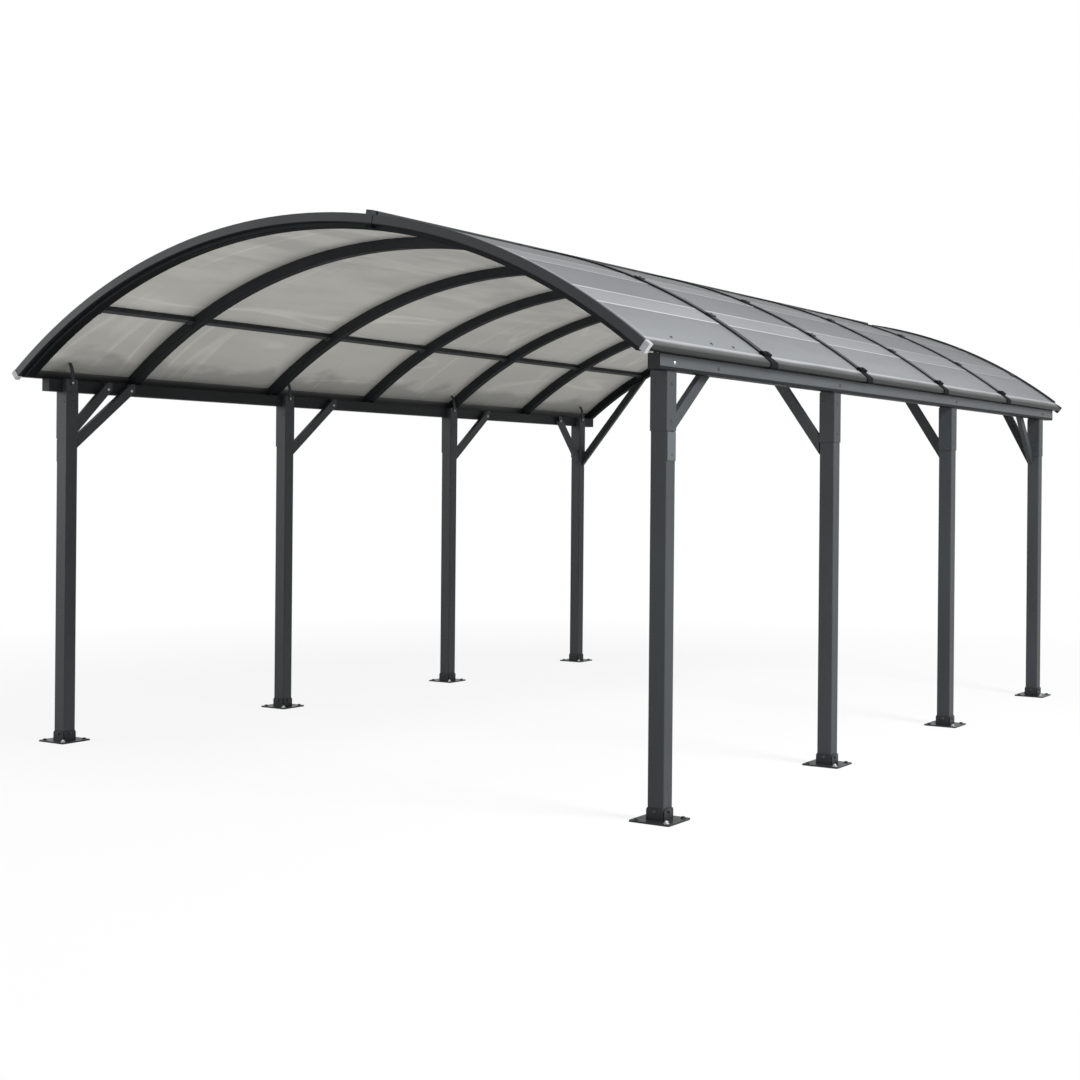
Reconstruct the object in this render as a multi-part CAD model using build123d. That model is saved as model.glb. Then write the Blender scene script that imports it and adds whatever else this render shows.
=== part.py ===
from build123d import *
from math import asin, degrees, hypot, sqrt
import os

os.makedirs("parts", exist_ok=True)

# Posts and their rows, all lengths in millimetres
row_spacing = 3800.0
post_pitch = 1800.0
post_rows = 4
post_size = 80.0
post_wall = 2.5
post_corner = 5.0
sleeve_length = 260.0
sleeve_wall = 3.0
sleeve_corner = 6.0

# Feet: a square plate with four upright tabs round the post
foot_size = 200.0
foot_thick = 8.0
foot_corner = 10.0
tab_height = 52.0
tab_thick = 5.0
tab_round = 14.0
tab_bolt_hole = 9.0
tab_bolt_height = 36.0
anchor_inset = 25.0
anchor_hole = 13.0

# Eave beams: rectangular tube let into the outer half of each post top
beam_underside = 1950.0
beam_width = 60.0
beam_height = 70.0
beam_wall = 2.5
beam_corner = 4.0
beam_outset = 15.0
beam_front_reach = 130.0
beam_back_reach = 230.0

# Roof shape: how far the outer edges of the end fascias stand out and rise
eave_reach = 100.0
gable_reach = 300.0
edge_rise = 22.0
roof_rise = 703.0

# Arched pieces
rib_count = 7
rib_width = 60.0
rib_depth = 55.0
rib_wall = 2.0
rib_corner = 3.0
front_bay = 770.0
fascia_width = 26.0
fascia_depth = 45.0
fascia_wall = 2.0
fascia_corner = 3.0
fascia_lip = 5.0
fascia_groove = 10.0
cap_length = 28.0
cap_wall = 2.0
sheet_count = 5
sheet_thick = 8.0
strip_width = 36.0
strip_thick = 3.0
strip_web = 4.0

# Ridge bar and the sleeves that join the fascia halves
ridge_offset = 500.0
ridge_width = 58.0
ridge_height = 24.0
ridge_wall = 2.5
ridge_web = 6.0
ridge_sleeve_length = 40.0
ridge_sleeve_wall = 3.0

# Purlins between the ribs
purlin_height = 30.0
purlin_width = 30.0
purlin_wall = 1.8
purlin_inset = 560.0

# Eave trims that hold the lower edges of the sheets
trim_outer_inset = 3.0
trim_width = 48.0
trim_wall = 2.0
trim_lip = 3.0
trim_cover = 28.0
trim_round = 9.0
trim_foot_round = 6.0

# Knee braces, from a post up to the middle of a beam or the underside of a rib
brace_width = 55.0
brace_thick = 30.0
brace_wall = 2.0
brace_drop = 275.0
brace_reach = 400.0
short_brace_drop = 185.0
short_brace_reach = 225.0
forward_brace_reach = 280.0
cross_brace_reach = 450.0
end_brace_reach = 400.0

# Straps from the post tops up to the sheets
strap_width = 22.0
strap_thick = 5.0
strap_lean = 25.0

# Named clearances
seat_gap = 0.3
slide_gap = 0.5
joint_gap = 1.0
least_corner = 0.5

# Positions that follow from the sizes above
half_row = row_spacing / 2
half_post = post_size / 2
beam_top = beam_underside + beam_height
beam_outer = half_row + half_post + beam_outset
beam_inner = beam_outer - beam_width
half_width = half_row + eave_reach
half_length = (post_rows - 1) * post_pitch / 2 + gable_reach
roof_edge_height = beam_top + edge_rise
roof_top_height = roof_edge_height + roof_rise
outer_radius = (half_width ** 2 + roof_rise ** 2) / (2 * roof_rise)
arch_centre = roof_top_height - outer_radius
arch_axis = Axis((0, 0, arch_centre), (0, 1, 0))
sheet_top = outer_radius - fascia_lip
sheet_under = sheet_top - sheet_thick
rib_top = sheet_under - seat_gap
rib_under = rib_top - rib_depth
fascia_under = outer_radius - fascia_depth
edge_angle = degrees(asin(half_width / outer_radius))
ridge_angle = degrees(asin(ridge_offset / outer_radius))
inner_face = half_length - fascia_width
sheet_end = inner_face + fascia_groove - slide_gap
trim_outer = half_width - trim_outer_inset
trim_inner = trim_outer - trim_width
post_ys = [(i - (post_rows - 1) / 2) * post_pitch for i in range(post_rows)]
rib_end = inner_face - seat_gap - rib_width / 2
rib_ys = [rib_end * (2 * i / (rib_count - 1) - 1) for i in range(rib_count)]
rib_ys[1] = front_bay - rib_end
purlin_reach = half_width - purlin_inset


def height_on(radius, x):
    # height of an arch layer above the ground at a distance from the middle
    return arch_centre + sqrt(radius ** 2 - x ** 2)


def arc_angle(length, radius):
    # angle in degrees that an arc length spans
    return degrees(length / radius)


def tube_face(width, height, wall, corner):
    # hollow rounded rectangle
    outer = RectangleRounded(width, height, corner)
    inner = RectangleRounded(width - 2 * wall, height - 2 * wall, max(corner - wall, least_corner))
    return outer - inner


def arch_piece(section, start, stop):
    # turn a section drawn at the top of the arch from one angle to another
    turned = section.rotate(arch_axis, start)
    return revolve(turned, arch_axis, stop - start)


def section_at(y, radius, face):
    # place a face upright at the top of the arch, with its centre at a radius
    return Plane((0, y, arch_centre + radius), x_dir=(0, 1, 0), z_dir=(1, 0, 0)) * face


def mirrored(shape):
    return mirror(shape, about=Plane.YZ)


def save(name, shapes):
    solids = [s for shape in shapes for s in shape.solids()]
    node = solids[0] if len(solids) == 1 else Compound(children=solids)
    export_step(node, f"parts/{name}.step")


# Feet
def foot():
    plate = extrude(RectangleRounded(foot_size, foot_size, foot_corner), foot_thick)
    reach = foot_size / 2 - anchor_inset
    for x in (-reach, reach):
        for y in (-reach, reach):
            plate -= Pos(x, y, foot_thick / 2) * Cylinder(anchor_hole / 2, 2 * foot_thick)
    face = Rectangle(post_size, tab_height)
    face = fillet(face.vertices().sort_by(Axis.Y)[-2:], tab_round)
    face -= Pos(0, tab_bolt_height - tab_height / 2) * Circle(tab_bolt_hole / 2)
    tab = extrude(Plane.XZ * face, tab_thick / 2, both=True)
    tab_out = half_post + slide_gap + tab_thick / 2
    tab = Pos(0, tab_out, foot_thick + tab_height / 2) * tab
    tabs = [tab.rotate(Axis.Z, turn) for turn in (0, 90, 180, 270)]
    return plate.fuse(*tabs)


# Posts: tube with its outer half cut away to seat the beam
def post(side):
    bottom = foot_thick
    face = tube_face(post_size, post_size, post_wall, post_corner)
    body = Pos(0, 0, bottom) * extrude(face, beam_top - bottom)
    seat = beam_height + post_wall
    notch_x = beam_inner - half_row
    notch_width = post_size
    notch = Box(notch_width, 2 * post_size, seat)
    notch = Pos(side * (notch_x + notch_width / 2), 0, beam_underside + seat / 2) * notch
    body -= notch
    bolt_z = foot_thick + tab_bolt_height
    drill = Cylinder(tab_bolt_hole / 2, 2 * post_size)
    body -= Pos(0, 0, bolt_z) * Rot(90, 0, 0) * drill
    body -= Pos(0, 0, bolt_z) * Rot(0, 90, 0) * drill
    return body


def post_sleeve():
    outer = post_size + 2 * (slide_gap + sleeve_wall)
    face = tube_face(outer, outer, sleeve_wall, sleeve_corner)
    top = beam_underside - seat_gap
    return Pos(0, 0, top - sleeve_length) * extrude(face, sleeve_length)


# Eave beam of the right side
def eave_beam():
    length = post_ys[-1] - post_ys[0] + beam_front_reach + beam_back_reach
    middle = (beam_back_reach - beam_front_reach) / 2
    face = tube_face(beam_width, beam_height, beam_wall, beam_corner)
    body = extrude(Plane.XZ * face, length / 2, both=True)
    return Pos(beam_inner + beam_width / 2, middle, beam_underside + beam_height / 2) * body


# Ribs: bent tube that stands on both beams
def rib(y):
    face = tube_face(rib_width, rib_depth, rib_wall, rib_corner)
    section = section_at(y, rib_under + rib_depth / 2, face)
    body = arch_piece(section, -edge_angle, edge_angle)
    reach = trim_inner - seat_gap
    keep = Box(2 * reach, 2 * rib_width, roof_top_height - beam_top)
    middle = (roof_top_height + beam_top) / 2
    return body & Pos(0, y, middle) * keep


# Fascias: two bent halves at each end with a groove for the sheet edges
def fascia_section(end):
    face = tube_face(fascia_width, fascia_depth, fascia_wall, fascia_corner)
    slot_height = sheet_thick + 2 * slide_gap
    liner = Rectangle(fascia_groove + fascia_wall, slot_height + 2 * fascia_wall)
    slot = Rectangle(fascia_groove, slot_height)
    slot_y = fascia_depth / 2 - fascia_lip - sheet_thick / 2
    back = fascia_width / 2
    liner = Pos(-end * (back - (fascia_groove + fascia_wall) / 2), slot_y) * liner
    slot = Pos(-end * (back - fascia_groove / 2), slot_y) * slot
    face = face + (liner & RectangleRounded(fascia_width, fascia_depth, fascia_corner))
    face = face - slot
    y = end * (half_length - fascia_width / 2)
    return section_at(y, outer_radius - fascia_depth / 2, face)


def fascia(end):
    section = fascia_section(end)
    half_joint = arc_angle(joint_gap / 2, outer_radius)
    left = arch_piece(section, -edge_angle, ridge_angle - half_joint)
    right = arch_piece(section, ridge_angle + half_joint, edge_angle)
    return [left, right]


# End caps: short closed sleeves on the fascia tips
def fascia_cap(end):
    y = end * (half_length - fascia_width / 2)
    grow = 2 * (cap_wall + seat_gap)
    outer = RectangleRounded(fascia_width + grow, fascia_depth + grow, fascia_corner + cap_wall)
    bore = RectangleRounded(fascia_width + 2 * seat_gap, fascia_depth + 2 * seat_gap, fascia_corner)
    middle = outer_radius - fascia_depth / 2
    start = edge_angle - arc_angle(cap_length, outer_radius)
    stop = edge_angle + arc_angle(seat_gap, outer_radius)
    shut = stop + arc_angle(cap_wall, outer_radius)
    body = arch_piece(section_at(y, middle, outer), start, shut)
    body -= arch_piece(section_at(y, middle, bore), start, stop)
    clear = Box(4 * fascia_depth, fascia_width, 4 * fascia_depth)
    clear_y = end * (inner_face - seat_gap - fascia_width / 2)
    return body - Pos(trim_outer, clear_y, roof_edge_height) * clear


# Roof sheets
def sheet_bounds(index):
    pitch = 2 * sheet_end / sheet_count
    gap = strip_web / 2 + slide_gap
    start = -sheet_end + index * pitch
    stop = start + pitch
    start += gap if index > 0 else 0
    stop -= gap if index < sheet_count - 1 else 0
    return start, stop


def joint_ys():
    pitch = 2 * sheet_end / sheet_count
    return [-sheet_end + i * pitch for i in range(1, sheet_count)]


def sheet_edge_angle():
    return degrees(asin((trim_inner + trim_cover) / sheet_top))


def ridge_gap_angle():
    return arc_angle(ridge_web / 2 + slide_gap, sheet_top)


def sheets(side):
    pieces = []
    for index in range(sheet_count):
        start, stop = sheet_bounds(index)
        face = Rectangle(stop - start, sheet_thick)
        section = section_at((start + stop) / 2, sheet_under + sheet_thick / 2, face)
        if side > 0:
            pieces.append(arch_piece(section, ridge_angle + ridge_gap_angle(), sheet_edge_angle()))
        else:
            pieces.append(arch_piece(section, -sheet_edge_angle(), ridge_angle - ridge_gap_angle()))
    return pieces


# Joint strips over the sheet edges, with a web between the sheets
def strips(side):
    top = Pos(0, strip_thick / 2) * Rectangle(strip_width, strip_thick)
    top = fillet(top.vertices().sort_by(Axis.Y)[-2:], strip_thick / 2)
    web = Pos(0, -sheet_thick / 2) * Rectangle(strip_web, sheet_thick)
    face = top + web
    ridge_stop = arc_angle(ridge_width / 2 + slide_gap, sheet_top)
    eave_stop = degrees(asin((trim_inner - joint_gap - strip_thick) / sheet_top))
    pieces = []
    for y in joint_ys():
        section = section_at(y, sheet_top + seat_gap, face)
        if side > 0:
            pieces.append(arch_piece(section, ridge_angle + ridge_stop, eave_stop))
        else:
            pieces.append(arch_piece(section, -eave_stop, ridge_angle - ridge_stop))
    return pieces


# Ridge bar: hollow cap over the joint of the two slopes
def ridge_bar():
    half = ridge_width / 2
    cap = Polyline(
        (-half, 0), (-half, ridge_height - ridge_wall * 2), (-half + ridge_wall * 2, ridge_height),
        (half - ridge_wall * 2, ridge_height), (half, ridge_height - ridge_wall * 2), (half, 0), close=True,
    )
    face = make_face(cap)
    inner = Pos(0, ridge_height / 2) * Rectangle(ridge_width - 4 * ridge_wall, ridge_height - 2 * ridge_wall)
    web = Pos(0, -(sheet_thick - ridge_wall) / 2) * Rectangle(ridge_web, sheet_thick + ridge_wall)
    face = face - inner + web
    length = inner_face - seat_gap
    bar = extrude(Plane.XZ * face, length, both=True)
    bar = Pos(0, 0, arch_centre + sheet_top + seat_gap) * bar
    return bar.rotate(arch_axis, ridge_angle)


def ridge_sleeve(end):
    y = end * (half_length - fascia_width / 2)
    top = sheet_top + seat_gap + ridge_height
    bottom = fascia_under - seat_gap - ridge_sleeve_wall
    width = fascia_width + 2 * (seat_gap + ridge_sleeve_wall)
    outer = Rectangle(width, top - bottom)
    bore = RectangleRounded(fascia_width + 2 * seat_gap, fascia_depth + 2 * seat_gap, fascia_corner)
    half = arc_angle(ridge_sleeve_length / 2, outer_radius)
    body = arch_piece(section_at(y, (top + bottom) / 2, outer), ridge_angle - half, ridge_angle + half)
    body -= arch_piece(section_at(y, outer_radius - fascia_depth / 2, bore), ridge_angle - half, ridge_angle + half)
    behind = Box(4 * ridge_sleeve_length, 2 * fascia_width, 4 * fascia_depth)
    cut = Pos(0, end * (inner_face - fascia_width), arch_centre + outer_radius) * behind
    return body - cut.rotate(arch_axis, ridge_angle)


# Purlin pieces of the right slope, one between each pair of ribs
def purlins():
    pieces = []
    angle = degrees(asin(purlin_reach / rib_top))
    middle = rib_top - seat_gap - purlin_height / 2
    for near, far in zip(rib_ys, rib_ys[1:]):
        length = far - near - rib_width - 2 * seat_gap
        face = tube_face(purlin_width, purlin_height, purlin_wall, purlin_wall)
        body = extrude(Plane.XZ * face, length / 2, both=True)
        body = Pos(0, (near + far) / 2, arch_centre + middle) * body
        pieces.append(body.rotate(arch_axis, angle))
    return pieces


# Eave trim of the right side: rounded profile with a slot for the sheets
def eave_trim():
    bottom = beam_top + seat_gap
    tall = roof_top_height
    block = Pos(trim_inner + trim_width / 2, bottom + tall / 2) * Rectangle(trim_width, tall)
    centre = Pos(0, arch_centre)
    outline = block & centre * Circle(sheet_top + trim_lip)
    corners = outline.vertices().sort_by(Axis.X)[-2:].sort_by(Axis.Y)
    outline = fillet(corners[-1:], trim_round)
    corners = outline.vertices().sort_by(Axis.Y)[:2].sort_by(Axis.X)
    outline = fillet(corners[-1:], trim_foot_round)
    room = Pos(trim_inner + trim_width / 2, bottom + trim_wall + tall / 2)
    room = room * Rectangle(trim_width - 2 * trim_wall, tall)
    room = room & centre * Circle(sheet_under - slide_gap - trim_wall)
    slot = centre * (Circle(sheet_top + slide_gap) - Circle(sheet_under - slide_gap))
    depth = trim_cover + slide_gap
    slot = slot & Pos(trim_inner + depth / 2, bottom + tall / 2) * Rectangle(depth, tall)
    face = outline - room - slot
    length = inner_face - seat_gap
    return extrude(Plane.XZ * face, length, both=True)


# Knee braces: straight tube cut off upright at both ends
def long_brace(y, way, reach, drop):
    # runs from a post face along the eave up to the inner face of the beam
    start = y + way * (half_post + slide_gap + sleeve_wall)
    rise_z = drop + beam_height / 2
    low = beam_underside - drop
    length = 2 * hypot(reach, rise_z)
    face = tube_face(brace_thick, brace_width, brace_wall, brace_wall)
    x = beam_inner - seat_gap - brace_thick / 2
    direction = Vector(0, way * reach, rise_z)
    middle = Vector(x, start + way * reach / 2, low + rise_z / 2)
    plane = Plane(middle, x_dir=(1, 0, 0), z_dir=direction)
    body = extrude(plane * face, length / 2, both=True)
    span = reach + brace_width / 2
    window = Box(2 * brace_thick, span, 2 * length)
    window = Pos(x, start + way * (seat_gap + span / 2), low + rise_z / 2) * window
    lid = Box(2 * brace_thick, 3 * length, 2 * length)
    lid = Pos(x, start, beam_top - brace_wall - length) * lid
    return body & window & lid


def cross_brace(y, reach):
    # leans from the inner face of a post to the underside of the nearest rib
    rib_y = min(rib_ys, key=lambda place: abs(place - y))
    spare = half_post - brace_thick / 2
    x_low = half_row - half_post - slide_gap - sleeve_wall
    y_low = y + max(-spare, min(spare, rib_y - y))
    low = Vector(x_low, y_low, beam_underside - brace_drop)
    x_high = x_low - reach
    high = Vector(x_high, rib_y, height_on(rib_under, x_high))
    along = high - low
    face = tube_face(brace_thick, brace_width, brace_wall, brace_wall)
    plane = Plane((low + high) / 2, x_dir=(0, 1, 0), z_dir=along)
    body = extrude(plane * face, along.length, both=True)
    window = Box(half_row, 2 * half_length, roof_top_height)
    window = Pos(x_low - seat_gap - half_row / 2, 0, roof_top_height / 2) * window
    under = Pos(0, 0, arch_centre) * Rot(90, 0, 0) * Cylinder(rib_under - seat_gap, 2 * half_length)
    return body & window & under


def braces(side):
    pieces = [long_brace(post_ys[0], 1, brace_reach, brace_drop)]
    if side < 0:
        pieces.append(long_brace(post_ys[0], 1, short_brace_reach, short_brace_drop))
        pieces += [long_brace(y, 1, brace_reach, brace_drop) for y in post_ys[1:-1]]
    else:
        pieces += [cross_brace(y, cross_brace_reach) for y in post_ys[1:-1]]
    pieces.append(long_brace(post_ys[-1], -1, forward_brace_reach, brace_drop))
    return pieces


# Straps: bent flats from the inner side of a post top up to the sheets
def strap(y):
    x = half_row - half_post - seat_gap - strap_thick / 2
    foot_z = beam_top - beam_height / 2
    top = height_on(sheet_under, x + strap_lean + strap_thick) - seat_gap
    bend_start = beam_top + strap_thick / 2
    straight = Line((x, foot_z), (x, bend_start))
    bend = TangentArc((x, bend_start), (x + strap_lean, top), tangent=(0, 1))
    flat = extrude(Plane.XZ * trace(straight + bend, strap_thick), strap_width / 2, both=True)
    tall = top - foot_z
    window = Pos(x, 0, foot_z + tall / 2) * Box(4 * strap_width, 2 * strap_width, tall)
    return Pos(0, y, 0) * (flat & window)


for number, y in enumerate(post_ys, start=1):
    save(f"foot_right_{number}", [Pos(half_row, y, 0) * foot()])
    save(f"foot_left_{number}", [Pos(-half_row, y, 0) * foot()])
    save(f"post_right_{number}", [Pos(half_row, y, 0) * post(1)])
    save(f"post_left_{number}", [Pos(-half_row, y, 0) * post(-1)])
save("post_sleeves_right", [Pos(half_row, y, 0) * post_sleeve() for y in post_ys])
save("post_sleeves_left", [Pos(-half_row, y, 0) * post_sleeve() for y in post_ys])
save("eave_beam_right", [eave_beam()])
save("eave_beam_left", [mirrored(eave_beam())])
for number, y in enumerate(rib_ys, start=1):
    save(f"rib_{number}", [rib(y)])
save("fascia_front", fascia(-1))
save("fascia_back", fascia(1))
caps = [fascia_cap(end) for end in (-1, 1)]
save("fascia_end_caps", caps + [mirrored(cap) for cap in caps])
save("roof_sheets_right", sheets(1))
save("roof_sheets_left", sheets(-1))
save("joint_strips_right", strips(1))
save("joint_strips_left", strips(-1))
save("ridge_bar", [ridge_bar()])
save("ridge_sleeves", [ridge_sleeve(-1), ridge_sleeve(1)])
save("purlins_right", purlins())
save("purlins_left", [mirrored(piece) for piece in purlins()])
save("eave_trim_right", [eave_trim()])
save("eave_trim_left", [mirrored(eave_trim())])
save("braces_right", braces(1))
save("braces_left", [mirrored(piece) for piece in braces(-1)])
end_brace = cross_brace(post_ys[-1], end_brace_reach)
save("braces_back", [end_brace, mirrored(end_brace)])
straps = [strap(y) for y in post_ys]
save("post_straps", straps + [mirrored(piece) for piece in straps])
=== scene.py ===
from math import asin, cos, pi, radians, sin, sqrt

import bmesh
import bpy
from mathutils import Matrix, Vector


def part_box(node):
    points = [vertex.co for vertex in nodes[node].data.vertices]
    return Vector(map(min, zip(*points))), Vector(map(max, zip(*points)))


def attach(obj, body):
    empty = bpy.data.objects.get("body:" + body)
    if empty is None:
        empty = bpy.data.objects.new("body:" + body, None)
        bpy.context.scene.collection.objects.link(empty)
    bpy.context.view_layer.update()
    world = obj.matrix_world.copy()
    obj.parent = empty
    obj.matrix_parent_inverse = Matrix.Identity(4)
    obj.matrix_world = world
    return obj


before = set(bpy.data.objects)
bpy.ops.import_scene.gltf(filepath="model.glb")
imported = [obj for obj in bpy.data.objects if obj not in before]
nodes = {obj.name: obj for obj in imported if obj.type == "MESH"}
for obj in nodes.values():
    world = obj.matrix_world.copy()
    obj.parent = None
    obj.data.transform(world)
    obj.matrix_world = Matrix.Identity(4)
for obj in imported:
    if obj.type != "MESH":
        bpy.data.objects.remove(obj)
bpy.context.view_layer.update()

# Camera of the photograph, found from the posts and the arch
image_side = 1080.0
focal_px = 1659.0
horizon_row = 486.7
camera_place = Vector((5.400, -9.010, 1.444))
camera_turn = radians(33.24)
camera_roll = radians(0.5)
sensor_mm = 36.0
camera_clip_end = 200.0

# Sizes that the CAD solids share with the small pieces, in metres
bolted_gap = 0.0003
sheet_thick = 0.008
fascia_lip = 0.005
fascia_deep = 0.045
ridge_sleeve_wall = 0.003
strip_rise = 0.0033
rib_half_width = 0.030
purlin_deep = 0.030
purlin_gap = 0.0006
plate_thick = 0.008
sleeve_out = 0.0435
strap_thick = 0.005
brace_thick = 0.030
trim_lip = 0.003
trim_round = 0.009
trim_foot_round = 0.006

# Sizes of the pieces on the feet
anchor_inset = 0.025
anchor_stud = ((0.005, 0.0), (0.005, 0.011), (0.004, 0.013))
tab_bolt_height = 0.036
tab_out = 0.0455

# Sizes of the pieces on the roof
band_places = (1.25, 1.65)
band_width = 0.130
band_rise = 0.0008
band_line = 0.010
band_line_rise = 0.0016
band_cover_gap = 0.003
band_end_gap = 0.005
cover_rise = 0.006
cover_width = 0.048
cover_ridge_gap = 0.062
thin_cover_rise = 0.0014
thin_cover_end = -0.30
clip_size = (0.034, 0.058, 0.007)
clip_back_inset = 0.014
connector_size = (0.026, 0.052, 0.014)
connector_away = 0.043
bracket_width = 0.076
bracket_thick = 0.0035
bracket_gap = 0.0006
bracket_lip_reach = 0.014
bracket_foot_reach = 0.012
eave_block_size = (0.030, 0.082, 0.016)
eave_block_inset = 0.004
eave_screw_inset = 0.030
eave_screw_ys = (-2.67, -2.29, -2.07)
upstand_rise = 0.009
upstand_ridge_gap = 0.06
purlin_bracket_size = (0.044, 0.040, 0.004)
apex_plate_size = (0.032, 0.028, 0.014)
apex_plate_inset = 0.013

# Sizes of the pieces on beams, posts and braces
plug_thick = 0.003
second_beam_bolt = 0.416
sleeve_bolt_drop = 0.055
sleeve_bolt_lift = 0.045
strap_bolt_lift = 0.016
post_top_bolt_lift = 0.012
post_top_bolt_side = 0.022
foot_plate_size = (0.0033, 0.076, 0.125)
foot_plate_drop = 0.066
foot_plate_bolt_drop = 0.10
foot_plate_bolt_side = 0.008
brace_bolt_drop = 0.006
long_brace = 0.40
short_brace = 0.225
back_brace = 0.28

# Hexagonal heads: width across, height and washer
zinc_anchor_head = (0.017, 0.008, 0.002)
dark_anchor_head = (0.017, 0.006, 0.0015)
tab_bolt_head = (0.012, 0.006, 0.002)

# Round heads: radius and height
small_head = (0.007, 0.004)
purlin_head = (0.006, 0.004)
post_top_head = (0.006, 0.0035)
eave_screw_head = (0.008, 0.005)
brace_head = (0.0085, 0.005)
beam_head = (0.009, 0.005)
eave_block_head = (0.010, 0.006)

# Where painted shade darkens the coats, above the lowest face of a piece, and where the joint strips are
# painted as pale as the lit sheet insides, above the sheets
beam_edge = (0.014, 0.017)
fascia_edge = (0.0025, 0.0045)
rib_edge = (0.001, 0.003)
strip_edge = (0.0004, 0.001)

# Where the tone of the roof sheets changes: along the roof; by height, with painted shade towards the ridge
# outside, streaks near the apex and painted shade along the eaves inside; painted shade beside ribs; a
# painted highlight beside the fascia, across
far_tone_ys = (-2.0, 3.4)
slope_shade_heights = (2.1, 2.62)
apex_tone_heights = (2.45, 2.7)
eave_shade_heights = (2.175, 2.13)
rib_shade_reach = (0.035, 0.13)
rib_shade_shift = 0.02
front_highlight_reach = (0.02, 0.06)
front_highlight_start_xs = (0.7, 1.0)
front_highlight_stop_xs = (1.3, 1.6)

# Floor and world
floor_reach = 60.0
floor_drop = 0.001
floor_whitening = (3.5, 8.0)
world_light = 0.42

# Places read from the frame, in metres
along_x, along_y = 0, 1
left, right = -1, 1
sides = (left, right)
fascia_low, fascia_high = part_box("fascia_front")
back_low, back_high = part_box("fascia_back")
beam_low, beam_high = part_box("eave_beam_right")
trim_low, trim_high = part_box("eave_trim_right")
sleeve_low, sleeve_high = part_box("post_sleeves_right")
foot_low, foot_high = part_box("foot_right_1")
post_low, post_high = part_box("post_right_1")


def middle(node, axis):
    low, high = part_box(node)
    return (low[axis] + high[axis]) / 2


def spans(node, axis, gap=0.1):
    # ranges that the vertices of a node fill along one axis
    places = sorted(v.co[axis] for v in nodes[node].data.vertices)
    found = [[places[0], places[0]]]
    for place in places:
        if place - found[-1][1] > gap:
            found.append([place, place])
        found[-1][1] = place
    return found


def fascia_tip(tolerance=0.0005):
    # highest point of the outer edge of the front fascia
    points = [v.co for v in nodes["fascia_front"].data.vertices]
    reach = max(p.x for p in points)
    return Vector((reach, 0.0, max(p.z for p in points if p.x > reach - tolerance)))


def rib_inner_radius(clear_of_ends=1.5):
    # least distance of a rib from the axis of the roof arch
    points = [v.co for v in nodes["rib_4"].data.vertices if abs(v.co.x) < clear_of_ends]
    return min(Vector((p.x, p.z - arch_centre)).length for p in points)


tip = fascia_tip()
rise = fascia_high.z - tip.z
roof_radius = (tip.x ** 2 + rise ** 2) / (2 * rise)
arch_centre = fascia_high.z - roof_radius
sheet_top = roof_radius - fascia_lip
rib_inner = rib_inner_radius()
ridge_x = middle("ridge_bar", along_x)
half_row = middle("foot_right_1", along_x)
post_half = (post_high.x - post_low.x) / 2
post_ys = [middle(f"foot_right_{n}", along_y) for n in range(1, 5)]
rib_ys = [middle(f"rib_{n}", along_y) for n in range(1, 8)]
joint_ys = [(low + high) / 2 for low, high in spans("joint_strips_right", along_y)]
beam_middle = (beam_low + beam_high) / 2
anchor_reach = (foot_high.x - foot_low.x) / 2 - anchor_inset
eave_block_x = trim_low.x - eave_block_inset


# Arch tools
def arch_angle(x, radius=sheet_top):
    return asin(x / radius)


def arch_place(angle, y, radius):
    return Vector((radius * sin(angle), y, arch_centre + radius * cos(angle)))


def arch_matrix(angle, y, radius):
    # local X down the slope to the right, local Y along the roof, local Z outward
    return Matrix.Translation(arch_place(angle, y, radius)) @ Matrix.Rotation(angle, 4, "Y")


def outward(angle):
    return Vector((sin(angle), 0, cos(angle)))


def even_steps(start, stop, count):
    return [start + (stop - start) * k / count for k in range(count + 1)]


def arch_path(angles, y, radius):
    # points on the arch with their outward directions
    return [(arch_place(angle, y, radius), outward(angle)) for angle in angles]


def round_path(angles, centre, radius):
    # points round a centre with their outward directions
    return [(centre + outward(angle) * radius, outward(angle)) for angle in angles]


# Mesh tools
sharp_angle = radians(35)


def new_piece(name, mesh_builder, material, smooth=True):
    bm = bmesh.new()
    mesh_builder(bm)
    bmesh.ops.recalc_face_normals(bm, faces=bm.faces)
    mesh = bpy.data.meshes.new(name)
    bm.to_mesh(mesh)
    bm.free()
    piece = bpy.data.objects.new(name, mesh)
    bpy.context.scene.collection.objects.link(piece)
    mesh.materials.append(material)
    if smooth:
        mesh.shade_smooth()
        mesh.set_sharp_from_angle(angle=sharp_angle)
    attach(piece, "root")


def skin_rings(bm, rings):
    # faces between neighbouring rings of points, and one face over each end
    for low, high in zip(rings, rings[1:]):
        for k in range(len(low)):
            n = (k + 1) % len(low)
            bm.faces.new((low[k], low[n], high[n], high[k]))
    bm.faces.new(list(reversed(rings[0])))
    bm.faces.new(rings[-1])


def add_turned(bm, profile, matrix, side_count=16):
    # solid of revolution about local Z from (radius, height) points, closed at both ends
    turns = [2 * pi * k / side_count for k in range(side_count)]
    rings = []
    for radius, height in profile:
        points = [matrix @ Vector((radius * cos(a), radius * sin(a), height)) for a in turns]
        rings.append([bm.verts.new(p) for p in points])
    skin_rings(bm, rings)


def add_band(bm, path, width, thick, lift=0.0):
    # flat band that follows (point, outward) pairs, with its width along Y
    half = Vector((0, width / 2, 0))
    rings = []
    for point, direction in path:
        inner = point + direction * lift
        outer = point + direction * (lift + thick)
        corners = (inner - half, inner + half, outer + half, outer - half)
        rings.append([bm.verts.new(p) for p in corners])
    skin_rings(bm, rings)


def add_block(bm, size, matrix, bevel):
    # box centred on the matrix, with its edges broken by a small bevel
    made = bmesh.ops.create_cube(bm, size=1.0, matrix=matrix @ Matrix.Diagonal((*size, 1.0)))
    edges = list({e for v in made["verts"] for e in v.link_edges})
    bmesh.ops.bevel(bm, geom=edges, offset=bevel, segments=2, affect="EDGES")


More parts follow.
